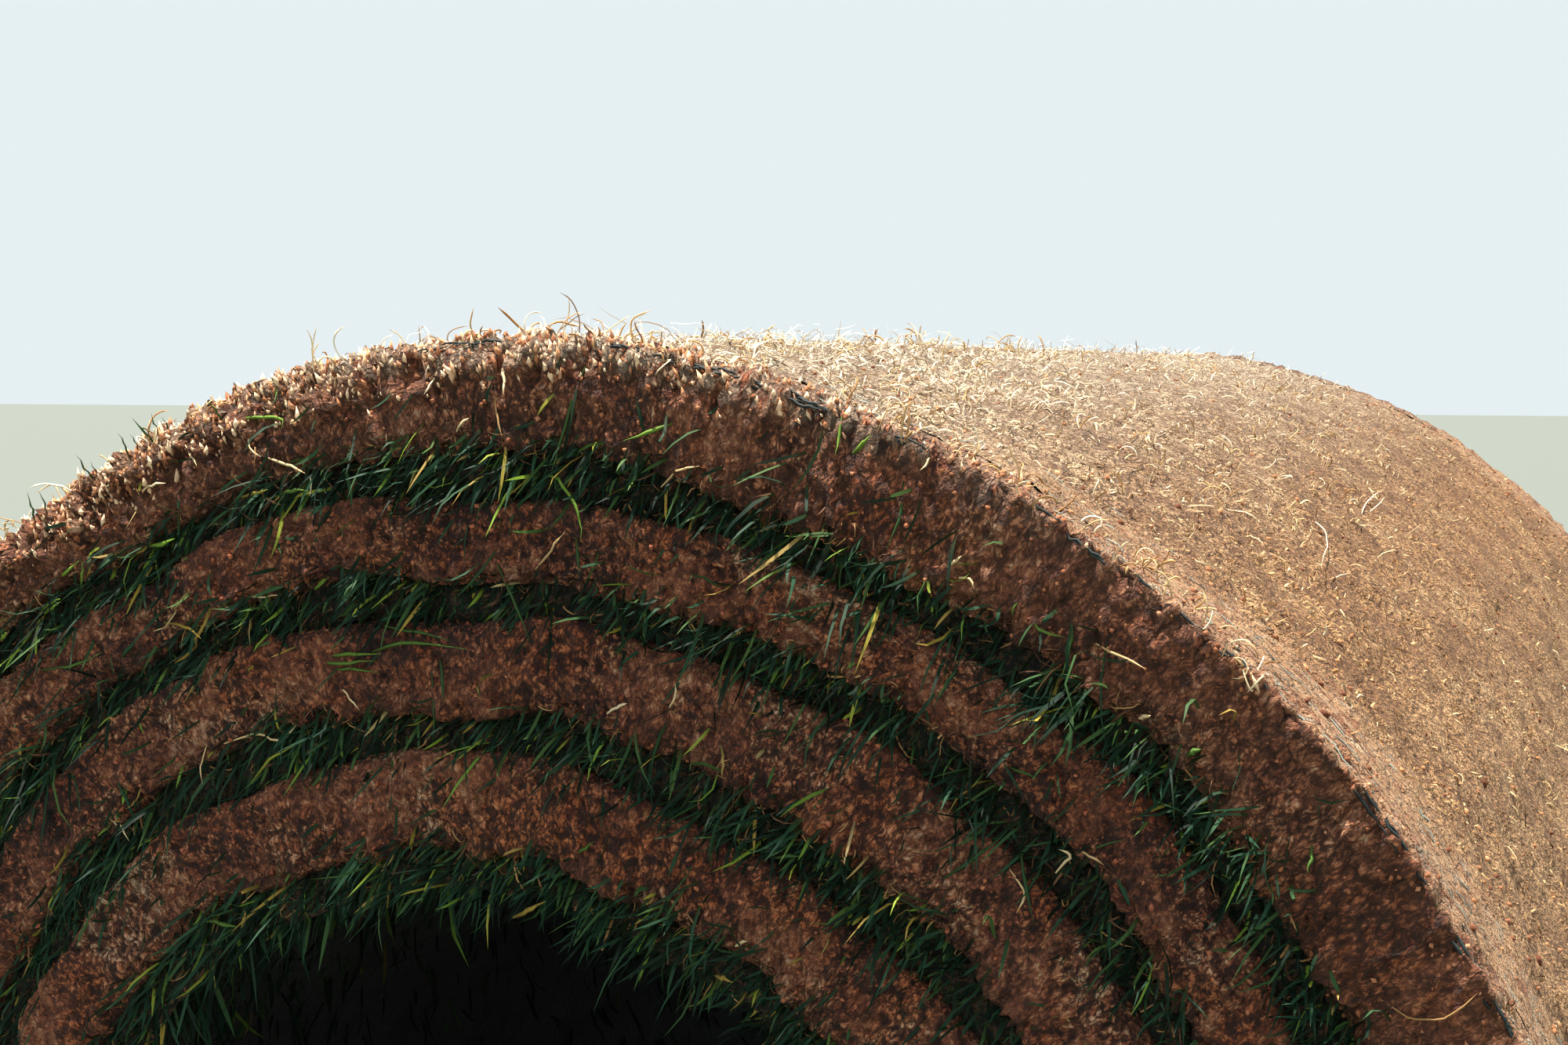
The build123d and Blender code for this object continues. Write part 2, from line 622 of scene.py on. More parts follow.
def blade(name, sides, turn, wave, foot):
    """One blade or root 1 m long, up Z: a ribbon that turns by an angle, waves and comes to a point."""
    steps = np.linspace(0, 1, sides + 1)
    middle = (steps[1:] + steps[:-1]) / 2
    angle = turn * middle + wave * np.sin(2 * np.pi * middle)
    spine = np.vstack([[0, 0], np.cumsum(np.stack([np.sin(angle), np.cos(angle)], 1), 0) / sides])
    half = np.interp(steps, [0, 0.35, 0.75, 1], [foot, 1, 0.75, 0]) / 2
    left = np.column_stack([-half, spine])
    points = np.stack([left, left * (-1, 1, 1)], 1).reshape(-1, 3)[:-1]
    faces = [(2 * i, 2 * i + 1, 2 * i + 3, 2 * i + 2) for i in range(sides - 1)]
    faces.append((2 * sides - 2, 2 * sides - 1, 2 * sides))
    mesh = bpy.data.meshes.new(name)
    mesh.from_pydata([tuple(point) for point in points], [], faces)
    mesh.polygons.foreach_set("use_smooth", np.ones(len(faces), bool))
    along = np.repeat(steps, 2)[:-1]
    mesh.attributes.new("along", "FLOAT", "POINT").data.foreach_set("value", along)
    return new_object(name, mesh)


def blades(name, *shapes, sides, foot):
    """Several blades or roots of one sort: each shape gives how far one turns and waves."""
    return [blade(f"{name}_{number}", sides, *shape, foot) for number, shape in enumerate(shapes)]


def crumb(name, seed):
    """One crumb of soil about 2 m across: a lopsided eight-faced lump with soft edges."""
    corners = np.array([(1, 0, 0), (0, 1, 0), (-1, 0, 0), (0, -1, 0), (0, 0, 1), (0, 0, -1)], float)
    corners *= np.random.default_rng(seed).uniform(0.65, 1.3, (6, 1))
    ring = [(0, 1), (1, 2), (2, 3), (3, 0)]
    faces = np.array([(a, b, 4) for a, b in ring] + [(b, a, 5) for a, b in ring])
    return new_object(name, mesh_of(name, corners, faces, {"along": np.ones(6)}))


# Materials


class Finish(Tree):
    """A material under construction, with one Principled shader."""

    def __init__(self, name):
        self.material = bpy.data.materials.new(name)
        self.material.use_nodes = True
        super().__init__(self.material.node_tree)
        self.tree.nodes.clear()
        self.place = self.take("ShaderNodeTexCoord", "Object")

    def blend(self, share, first, second):
        """Mixes two colours."""
        return self.take("ShaderNodeMix", 2, {0: share, 6: first, 7: second}, data_type="RGBA")

    def ramp(self, share, *stops):
        """Colours along a scale from 0 to 1."""
        return self.take("ShaderNodeValToRGB", 0, {0: share}, stops=stops)

    def value(self, key, output="Fac"):
        """A value that the piece brings under a name."""
        return self.take("ShaderNodeAttribute", output, attribute_name=key)

    def cells(self, scale, place):
        """Round crumbs: each one's height, from 0 at its rim to 1, and its own random number."""
        inputs = {"Vector": place, "Scale": scale, "Randomness": 1.0}
        node = self.node("ShaderNodeTexVoronoi", inputs)
        own = self.take("ShaderNodeSeparateColor", 0, {0: Value(self, node.outputs["Color"])})
        return 1 - Value(self, node.outputs["Distance"]), own

    def end(self, colour, rough, bump=None, lift=0.002, **constants):
        """Closes the material."""
        inputs = {"Base Color": colour, "Roughness": rough, **constants}
        if bump:
            inputs["Normal"] = self.take("ShaderNodeBump", 0, {"Height": bump, "Distance": lift})
        shader = self.take("ShaderNodeBsdfPrincipled", 0, inputs)
        self.node("ShaderNodeOutputMaterial", {"Surface": shader})
        return self.material


def paint(code):
    """A colour written as on a paint card, in the renderer's numbers."""
    parts = np.array([int(code[i:i + 2], 16) / 255 for i in (0, 2, 4)])
    return (*np.where(parts <= 0.04045, parts / 12.92, ((parts + 0.055) / 1.055) ** 2.4), 1.0)


def earth_tones(finish, share):
    """Soil from wet and dark to dry and sandy."""
    return finish.ramp(share, (0.0, paint("30140b")), (0.3, paint("7c3e26")), (0.55, paint("b26543")),
                       (0.8, paint("d49067")), (1.0, paint("ecc09c")))


def cut_earth(finish, strip, tone, gap_shade, pit_shade):
    """Red-brown soil of a cut: rusty and greyer patches, painted shade in its gaps and pits, a mat of
    roots below.
    """
    rough = finish.noise(34, strip, 3, 0.6).above(0.42, 0.56)
    rusty = finish.noise(20, strip, 3, 0.6).above(0.44, 0.58) * (0.35 + 0.5 * rough)
    rust = finish.ramp(tone, (0.2, paint("8c3a1a")), (0.8, paint("e3864e")))
    earth = finish.blend(rusty, earth_tones(finish, tone * 1.8 - 0.3), rust)
    earth = finish.blend((1 - rough) * 0.3, earth, paint("7a5340"))
    # Painted shade: darker in the gaps between crumbs and in the pits
    earth = finish.blend(gap_shade * (0.42 + 0.42 * rough), earth, paint("260f08"))
    earth = finish.blend(pit_shade * (0.25 + 0.57 * rough), earth, paint("240e07"))
    mat = finish.value("mat").above(0.6, 1.05) * finish.noise(70, strip, 3).above(0.35, 0.6)
    return finish.blend(mat * 0.5, earth, paint("281a11"))


def dried_sand(finish, strip, tone, gap_shade, dust):
    """Sandy dry soil: painted sunlight makes it palest on top and paler down the flanks, with browner
    bare patches, and painted shade in its hollows and gaps.
    """
    painted_sun = finish.value("painted_sun")
    sandy = finish.ramp(tone, *zip((0.2, 0.5, 0.8), map(paint, dust)))
    # Painted sunlight: paler on the top of the roll
    sandy = finish.blend(painted_sun * 0.85, sandy, paint("f3e5c8"))
    # Painted light: paler down the flanks
    sandy = finish.blend(finish.value("painted_flank_light") * 0.7, sandy, paint("f2c48f"))
    # Painted shade: darker brown mottling between the mid-sized lumps
    brown = 1 - finish.noise(75, strip, 3, 0.65).above(0.4, 0.6)
    sandy = finish.blend(brown * 0.35, sandy, paint("86522a"))
    bare = 1 - finish.patches(finish.place).above(0.4, 0.56)
    sandy = finish.blend(bare * (0.45 - 0.2 * painted_sun), sandy, paint("744520"))
    # Painted shade: dark in the hollows between the rim's pillars
    hollow_shade = finish.value("rim") * (1 - finish.pillars(strip).above(0.42, 0.56))
    sandy = finish.blend(hollow_shade * 0.85, sandy, paint("2c150b"))
    # Painted shade: darker in the gaps between crumbs
    return finish.blend(gap_shade * 0.75, sandy, paint("4a2a12"))


def pressed_soil(finish, strip, streak, grain):
    """The smooth streaky soil of the pressed band, with rusty stains and faded blue-green streaks."""
    smooth = finish.ramp(streak * 0.7 + grain * 0.3, (0.42, paint("6a3a1e")), (0.49, paint("b5835a")),
                         (0.57, paint("dcb892")))
    stained = finish.noise(85, strip, 3, 0.6).above(0.56, 0.62)
    smooth = finish.blend(stained * 0.65, smooth, paint("8a4a2a"))
    faded = finish.streaks((55.0, 55.0, 320.0), strip, 2).above(0.6, 0.65)
    return finish.blend(faded * 0.55, smooth, paint("bcc4b6"))


def crumbly_soil(name, dry, dust):
    """Soil of crumbs with painted shade in its gaps: red-brown at a cut, sandy where the piece says it
    is dry, which on the rim includes painted sunlight.
    """
    finish = Finish(name)
    strip = finish.value("strip", "Vector")
    warp = finish.scaled(finish.noise(160, strip, 2, 0.5, 1), 0.006)
    place = finish.vector("MULTIPLY", finish.vector("ADD", strip, warp), (1.0, 0.6, 1.0))
    large, large_own = finish.cells(560, place)
    small, small_own = finish.cells(1300, place)
    grain = finish.noise(1500, strip, 3, 0.7)
    lump = finish.noise(190, strip, 3, 0.6)
    clod = finish.noise(26, strip, 4, 0.6)
    patch = finish.noise(9, strip, 2, 0.5)
    height = large * 0.42 + small * 0.25 + grain * 0.4 - 0.05
    tone = height * 0.5 + large_own * 0.22 + small_own * 0.16 + (clod - 0.5) * 0.8 + (patch - 0.5) * 0.4
    tone = tone + (lump - 0.5) * 0.6
    # Shares of painted shade: where the crumbs are low, and in the pits
    gap_shade = 1 - height.above(0.4, 0.62)
    pit_shade = 1 - lump.above(0.4, 0.52)
    streak = finish.streaks((90.0, 90.0, 800.0), strip, 4, 0.7)

    loose_gap = 1 - finish.noise(240, finish.upright(strip), 3, 0.6).above(0.38, 0.49)
    clustered = 1 - finish.value("rim").above(0.05, 0.4) * loose_gap
    dried = finish.value("dry").above(0.1, 0.9) * clustered * dry
    earth = cut_earth(finish, strip, tone, gap_shade, pit_shade)
    earth = finish.blend(dried, earth, dried_sand(finish, strip, tone, gap_shade, dust))
    pressed = finish.value("pressed") * (0.3 + 0.7 * finish.noise(38, strip, 3, 0.6).above(0.4, 0.54))
    earth = finish.blend(pressed * 0.85, earth, pressed_soil(finish, strip, streak, grain))
    bump = height * (1 - pressed * 0.5) + streak * pressed + pit_shade * -0.5
    return finish.end(earth, rough=0.95, bump=bump, lift=0.0035)


def crumb_soil():
    """Loose crumbs, each of one tone."""
    finish = Finish("crumb_soil")
    strip = finish.value("strip", "Vector")
    grain = finish.noise(700, finish.place, 2)
    tone = finish.value("tone") * 0.8 + grain * 0.5 - 0.12
    # Painted shade: dark in the hollows between the rim's pillars
    hollow_shade = finish.value("rim") * (1 - finish.pillars(strip).above(0.38, 0.52))
    sandy = finish.ramp(tone, (0.1, paint("6e3c22")), (0.5, paint("c68a5a")), (0.9, paint("f4d6ae")))
    sandy = finish.blend(hollow_shade * 0.75, sandy, paint("3a2012"))
    # The dry value brings real dryness and, on the rim, painted sunlight
    earth = finish.blend(finish.value("dry") * 0.8, earth_tones(finish, tone), sandy)
    return finish.end(earth, rough=0.95, bump=grain, lift=0.0005)


def thatch():
    """The dense foot of the grass: brown-green, with much of it near black as painted shade between the
    blades, and black far inside the bore as painted shade.
    """
    finish = Finish("thatch")
    fleck = finish.noise(300, finish.place, 3, 0.7)
    # Mostly near black: painted shade between the blades, with brown flecks of dead grass
    colour = finish.ramp(fleck, (0.36, paint("040503")), (0.5, paint("17150c")), (0.6, paint("48331f")))
    matted = finish.streaks((90.0, 90.0, 500.0), finish.value("strip", "Vector"), 3)
    # Painted shade: black far inside the bore
    painted_bore_shade = finish.ramp(matted, (0.35, paint("000000")), (0.52, paint("010101")),
                         (0.68, paint("050704")))
    colour = finish.blend(finish.value("bore_depth_and_shade"), colour, painted_bore_shade)
    return finish.end(colour, rough=0.95, bump=fleck, lift=0.004)


def grass_blade():
    """Leaf green by tone: mostly dark and bluish, then lighter, yellow-green, and a few dead ones. Far
    inside the bore, painted shade darkens them near black.
    """
    finish = Finish("grass_blade")
    tone, along = finish.value("tone"), finish.value("along")
    green = finish.ramp(tone, (0.0, paint("0a160d")), (0.4, paint("162d1f")), (0.75, paint("2a4c35")),
                        (0.915, paint("486533")), (0.94, paint("86a93a")), (0.96, paint("a98a3c")),
                        (1.0, paint("b8a070")))
    bore_depth_and_shade = finish.value("bore_depth_and_shade")
    # Painted shade: near black far inside the bore
    green = finish.blend(bore_depth_and_shade * 0.86, green, paint("020302"))
    vein = finish.noise(900, finish.place, 1)
    green = finish.blend(vein * 0.35, green, paint("0a140b"))
    foot = finish.blend((1 - along.above(0.0, 0.4)) * (1 - bore_depth_and_shade) * 0.6, green, paint("363b1c"))
    return finish.end(foot, rough=0.6 + bore_depth_and_shade * 0.35, **{"Specular IOR Level": 0.12})


def root_fibre():
    """Dry roots: brown to straw and cream, and paler on the top of the roll as painted sunlight."""
    finish = Finish("root_fibre")
    fleck = finish.noise(500, finish.place, 1)
    colour = finish.ramp(finish.value("tone") * 0.85 + fleck * 0.3 - 0.08, (0.0, paint("5d3a22")),
                         (0.35, paint("ae824c")), (0.7, paint("dcbc88")), (1.0, paint("f4e6c6")))
    # Painted sunlight: paler on the top of the roll
    colour = finish.blend(finish.value("painted_sun") * 0.6, colour, paint("f4ead4"))
    return finish.end(colour, rough=0.8)


def backing_thread():
    """Old backing net grown into the strip: black-green along the near edge, where it also paints the
    shadow under the backing's lip, and faded to blue-green.
    """
    finish = Finish("backing_thread")
    tone = finish.value("tone") * 0.8 + finish.noise(120, finish.place, 3) * 0.4 - 0.1
    colour = finish.ramp(tone, (0.0, paint("0b0f0e")), (0.5, paint("44504c")), (1.0, paint("b4c6bc")))
    return finish.end(colour, rough=0.7)


# Pieces


def end_profile(face_step, wall_step):
    """Across the soil at a cut end: depths, insets, and how far the surface has turned inwards."""
    inner_wall = 0.016
    bend = np.radians([0, 22, 45, 67, 90])
    face = np.linspace(EDGE_WEAR, SOIL - EDGE_WEAR, round((SOIL - 2 * EDGE_WEAR) / face_step))[1:-1]
    edge = [(EDGE_WEAR * (1 - np.cos(turn)), EDGE_WEAR * (1 - np.sin(turn)), turn) for turn in bend]
    rows = [(0.0, inset, 0.0) for inset in np.arange(END_REACH, EDGE_WEAR + wall_step / 2, -wall_step)]
    rows += edge
    rows += [(depth, 0.0, np.pi / 2) for depth in face]
    rows += [(SOIL - depth, inset, np.pi - turn) for depth, inset, turn in edge[::-1]]
    rows += [(SOIL, inset, np.pi) for inset in np.arange(EDGE_WEAR + wall_step, inner_wall, wall_step)]
    return np.array(rows).T


def end_lay(place, side):
    """How the grass lies at a cut end: combed to the tail, drooping and splayed out of the roll."""
    down, out = np.array([0, 0, -0.45]), np.array([0, side * 0.7, 0])
    return 0.32 * combed(place) - 0.2 * radial(place) + down + out


def soil_end(name, side, material, fine, coarse, face_step, wall_step):
    """The strip's soil at one cut end, through all the turns."""
    place = stations(TAIL, INNER_END, fine, coarse)
    first_turn = place < FIRST_TURN_END
    depth, inset, turn = end_profile(face_step, wall_step)
    bend_reach = EDGE_WEAR + 0.0001
    corner = (turn < 2) & (depth < bend_reach) & (inset < bend_reach)
    crisp = np.where(corner & first_turn, 0.35 + 0.65 * leftness(place), 1.0)
    depth, inset = depth * crisp, inset * crisp
    y = side * (HALF_WIDTH - inset - shoulder(place, depth) * smooth_step(END_REACH, 0.01, inset))
    points = wound(place, depth, y)
    on_end = np.sin(turn)
    outward = radial(place) * np.cos(turn)[:, None] + np.array([0, side, 0]) * on_end[:, None]

    # Shares from 0 to 1 that say where on the strip each thing shows
    clear = smooth_step(0.004, 0.02, points[..., 2])
    shown = smooth_step(0.017, 0.012, inset)
    outer_edge = smooth_step(0.024, 0.016, inset)
    rim = rim_share(place, depth * 1.25) * outer_edge
    pressed = pressed_band(place, inset) * smooth_step(0.006, 0.003, depth) * (1 - on_end) ** 2
    buried = smooth_step(0.018, END_REACH, inset) * np.where(first_turn, 0, 1)
    lip = 1 + 0.9 * smooth_step(0.7, 0.95, depth / SOIL) * smooth_step(0.012, 0.006, inset)
    loose = np.where(first_turn, 0.5 + 0.5 * on_end, (0.2 + 0.8 * on_end) * (1 - buried)) * clear
    # Real dust on the worn corner, and on the rim painted sunlight that reaches further down on the
    # left
    dust_and_sunlight = np.maximum((1 - on_end) ** 2 * (depth < 0.01), rim_dust_and_sunlight(place, depth))
    strewn = np.maximum(np.where(off_top(place) < 80, 0.42, 0.2) * shown, rim)
    values = {
        "loose": loose * (1 - 0.5 * pressed) * lip,
        "mat": depth / SOIL,
        # Real dryness, with painted sunlight on the rim
        "dry": first_turn * np.maximum(dust_and_sunlight, 0.42),
        # Painted sunlight on the top of the first turn, near its outer face
        "painted_sun": sunlit_top(place) * first_turn * smooth_step(0.012, 0.004, depth),
        "pressed": pressed,
        "rim": rim_share(place, depth) * outer_edge * clear * (0.3 + 0.7 * leftness(place)),
        "strip": unwound(place, depth, y),
        "lay": end_lay(place, side) + np.array([0, side * 0.1, 0]),
        "reach": 1.0,
        "litter": strewn * clear * (1 - 0.8 * pressed),
        "stray": shown * clear * smooth_step(0, 0.9, depth / SOIL),
        "fringe": shown * clear * smooth_step(0.68, 1, depth / SOIL),
        "nubs": rim * clear * (0.03 + 0.97 * smooth_step(0.04, 0.5, leftness(place))) * (1 - pressed),
    }
    mesh = grid_mesh(name, points, outward, values, 16)
    return grown(name, mesh, CRUMBLING, material, Hollows=0.011, Clods=0.012, Crumbs=0.0065,
                 Pillars=0.038)


def outer_face(material):
    """The outermost turn's sunlit face, between the two ends."""
    place = stations(TAIL, FIRST_TURN_END, 0.0052, 0.010, 100)
    share = np.linspace(0, 1, 118)
    y = -HALF_WIDTH + END_REACH + (2 * HALF_WIDTH - 2 * END_REACH) * (0.45 * share + 0.55 * share**2)
    points = wound(place, 0.0, y)
    inset = HALF_WIDTH - np.abs(y)
    from_near = y + HALF_WIDTH

    # Shares from 0 to 1 that say where on the face each thing shows
    clear = smooth_step(0.004, 0.03, points[..., 2])
    pressed = pressed_band(place, inset)
    upper = 0.45 + 0.55 * smooth_step(125, 85, off_top(place))
    sandy = 1 - 0.75 * smooth_step(392, 425, place) * smooth_step(520, 470, place)
    rooted = clear * (1 - 0.9 * pressed) * upper * sandy
    values = {
        "loose": (0.6 - 0.4 * pressed) * clear,
        "dry": 1.0,
        "mat": 0.0,
        # Painted sunlight on the top of the roll
        "painted_sun": sunlit_top(place),
        # Painted light: paler down the flanks
        "painted_flank_light": smooth_step(30, 70, off_top(place)),
        "pressed": pressed,
        "strip": unwound(place, 0.0, y),
        "lay": 0.9 * radial(place) - 0.3 * combed(place),
        "reach": 0.72 + 0.75 * sunlit_top(place),
        "roots": rooted * (0.4 + 0.6 * smooth_step(0.7, 0.2, from_near)),
        "tufts": rooted * smooth_step(0.5, 0.05, from_near),
        "litter": clear * (0.25 + 0.75 * smooth_step(0.3, 0.05, inset)) * (2.2 - 1.2 * sandy),
    }
    mesh = grid_mesh("outer_face", points, radial(place), values, 2)
    return grown("outer_face", mesh, CRUMBLING, material, Hollows=0.021, Clods=0.019, Crumbs=0.007)


def strip_end(name, material, place, last_depth, side):
    """A cut across the strip: its tail, where side is 1, or its inner end, where it is -1."""
    depth = np.linspace(0.0, last_depth, 16)[:, None]
    y = np.linspace(-HALF_WIDTH + 0.004, HALF_WIDTH - 0.004, 200)
    outward = combed(np.array(place)) * side
    values = {"loose": 0.3, "dry": 0.0, "mat": depth / SOIL, "strip": unwound(place, depth, y)}
    mesh = grid_mesh(name, wound(place, depth, y), outward, values)
    return grown(name, mesh, CRUMBLING, material, Hollows=0.006, Clods=0.006, Crumbs=0.004)


def end_grass(name, side, finish, foot_finish, step, density, seed):
    """The grass at one cut end, between the turns and round the bore, with the foot it grows from."""
    place = stations(TAIL, INNER_END, step, step * 1.6)
    share = np.linspace(0, 1, 6)
    last = np.where(place < BORE_START, PITCH + 0.003, GRASS_FOOT)
    depth = SOIL - 0.003 + (last - SOIL + 0.003) * share
    y = side * (HALF_WIDTH - 0.010 + 0.004 * np.sin(np.pi * share))
    values = {"loose": 0.4, "lay": end_lay(place, side), "growth": 1 - 0.6 * share, "reach": 1.0,
              "strip": unwound(place, depth, y)}
    outward = np.array([0.0, side, 0.0])
    mesh = grid_mesh(name + "_foot", wound(place, depth, y), outward, values, 16)
    guide = mesh.copy()
    foot = grown(name + "_foot", mesh, CRUMBLING, foot_finish, Hollows=0.005, Clods=0.014, Crumbs=0.007)
    planted(name + "_straw", foot, "growth", ROOTS, ROOT_FINISH, seed + 40, Density=density * 0.25,
            Length=0.013, Length_Spread=0.6, Width=0.0009, Least_Curl=0.2, Disorder=0.8, Clumps=1.5,
            Tone_Low=-0.75, Tone_High=0.3)
    grown(name, guide, GRASS, finish, seed, Density=density, Length=0.020, Length_Spread=0.5,
          Width=0.0014, Least_Curl=0.1, Disorder=0.75, Clumps=1.5, Droop=1.5, Patches=0.35,
          Tone_Low=0.0, Tone_High=0.965)


def bore_grass(finish, foot_finish):
    """The free grass that lines the bore, and its foot."""
    place = stations(BORE_START, INNER_END, 0.016, 0.018)
    y = np.linspace(-HALF_WIDTH + 0.008, HALF_WIDTH - 0.008, 71)
    inset = HALF_WIDTH - np.abs(y)
    bore_depth_and_shade = smooth_step(0.012, 0.075, inset)
    points = wound(place, SOIL + 0.005 + 0.012 * bore_depth_and_shade, y)
    inwards = (-0.7 + 0.35 * bore_depth_and_shade[:, None]) * radial(place)[:, 0][:, None]
    values = {
        "loose": 0.6,
        "lay": 0.55 * combed(place) + inwards + np.array([0, 0, -0.25]),
        "growth": 0.06 + 0.94 * np.exp(-inset / 0.05),
        "reach": 1 - 0.35 * bore_depth_and_shade,
        # How far into the bore: shorter blades, and painted shade that darkens the grass and its foot
        "bore_depth_and_shade": bore_depth_and_shade,
        "strip": unwound(place, SOIL, y),
    }
    mesh = grid_mesh("bore_foot", points, -radial(place), values, 2)
    guide = mesh.copy()
    grown("bore_foot", mesh, CRUMBLING, foot_finish, Hollows=0.006, Clods=0.010, Crumbs=0.004)
    grown("bore_grass", guide, GRASS, finish, 31, Density=58000.0, Length=0.028, Length_Spread=0.35,
          Width=0.0021, Least_Curl=-0.2, Disorder=0.42, Clumps=0.8, Droop=0.8, Tone_Low=0.0,
          Tone_High=0.99)


# Blades and roots that lie where the photograph shows them: width in mm, tone, rise off the soil in mm,
# and pixels of the photograph from foot to tip
LONE_BLADES = [
    (1.9, 0.923, 5, (402, 847), (440, 846), (478, 843)),
    (1.9, 0.926, 6, (413, 838), (450, 833), (486, 835)),
    (1.8, 0.921, 4, (419, 854), (450, 853), (482, 858)),
    (1.9, 0.92, 7, (474, 832), (513, 817), (597, 828)),
    (1.8, 0.914, 5, (490, 799), (530, 806), (574, 815)),
    (1.9, 0.963, 6, (209, 795), (241, 800), (256, 815)),
    (1.6, 0.92, 5, (46, 857), (96, 850), (130, 832)),
    (2.6, 0.75, 5, (153, 842), (165, 826), (178, 812)),
    (2.4, 0.65, 4, (147, 991), (163, 1022), (180, 1063)),
    (2.2, 0.80, 4, (561, 842), (565, 868), (566, 895)),
    (1.4, 0.84, 5, (551, 857), (555, 900), (553, 949)),
    (1.6, 0.95, 5, (318, 1002), (346, 964), (379, 949)),
    (1.8, 0.93, 7, (297, 538), (330, 531), (364, 533), (357, 547)),
    (2.2, 0.955, 6, (308, 634), (325, 630), (341, 624)),
    (2.0, 0.92, 6, (359, 630), (375, 626), (393, 626)),
    (1.5, 0.92, 6, (352, 480), (352, 500), (349, 516)),
    (1.5, 0.90, 5, (756, 451), (734, 496), (712, 572), (704, 600)),
    (1.7, 0.93, 7, (700, 606), (713, 610), (743, 664), (741, 690)),
    (2.0, 0.93, 8, (859, 541), (830, 550), (796, 563)),
    (1.6, 0.86, 5, (631, 710), (658, 773), (676, 822)),
    (1.6, 0.84, 4, (734, 684), (739, 710), (738, 737)),
    (2.4, 0.93, 9, (1089, 578), (1100, 566), (1112, 556)),
    (1.6, 0.93, 6, (1073, 532), (1070, 560), (1066, 581)),
    (1.6, 0.87, 5, (1154, 612), (1150, 657), (1131, 701)),
    (1.6, 0.88, 5, (1368, 796), (1364, 830), (1354, 865)),
    (2.8, 0.92, 4, (1513, 964), (1523, 959), (1533, 956)),
    (1.6, 0.91, 4, (1287, 980), (1305, 985), (1322, 993)),
    (1.8, 0.82, 5, (1203, 1121), (1245, 1094), (1284, 1060)),
    (1.8, 0.80, 5, (1301, 1087), (1308, 1130), (1320, 1179)),
    (1.8, 0.92, 5, (1674, 1079), (1672, 1095), (1668, 1113)),
    (2.6, 0.92, 5, (262, 1174), (285, 1178), (305, 1182)),
    (2.2, 0.97, 5, (308, 1185), (312, 1172), (313, 1160)),
    (2.4, 0.96, 6, (655, 1170), (676, 1160), (697, 1150)),
    (1.8, 0.975, 5, (920, 950), (923, 975), (921, 993)),
    (1.6, 0.92, 5, (733, 1093), (745, 1083), (757, 1073)),
    (1.6, 0.88, 5, (822, 1190), (850, 1150), (885, 1105)),
    (2.6, 0.965, 4, (910, 1244), (922, 1248), (935, 1252)),
    (2.2, 0.9, 5, (986, 1095), (1005, 1092), (1022, 1092)),
    # Sunlit blades on the left: their bright yellow-green tone is painted sunlight
    (2.6, 0.935, 6, (190, 697), (206, 695), (223, 688)),
    (2.2, 0.935, 6, (67, 742), (84, 731), (103, 715)),
    (2.0, 0.93, 6, (51, 782), (64, 778), (78, 766)),
    (2.4, 0.935, 6, (0, 815), (5, 812), (9, 806)),
    (1.6, 0.9, 5, (46, 667), (40, 648), (34, 627)),
    (1.6, 0.88, 6, (200, 570), (183, 550), (167, 533)),
    (1.4, 0.9, 5, (203, 555), (198, 541), (193, 527)),
    (1.4, 0.91, 5, (286, 540), (276, 524), (263, 509)),
    (1.4, 0.88, 5, (62, 657), (55, 639), (50, 625)),
    (1.4, 0.85, 5, (119, 613), (107, 593), (97, 581)),
    (1.3, 0.85, 5, (125, 604), (120, 598), (116, 590)),
    (1.4, 0.9, 5, (168, 588), (158, 566), (151, 552)),
    (1.4, 0.88, 5, (218, 551), (212, 541), (206, 531)),
    (1.4, 0.86, 5, (178, 574), (172, 563), (166, 553)),
    # Sunlit blades on the left: their bright yellow-green tone is painted sunlight
    (1.8, 0.935, 6, (103, 748), (105, 735), (104, 716)),
    (2.0, 0.93, 5, (52, 780), (66, 768), (79, 764)),
]
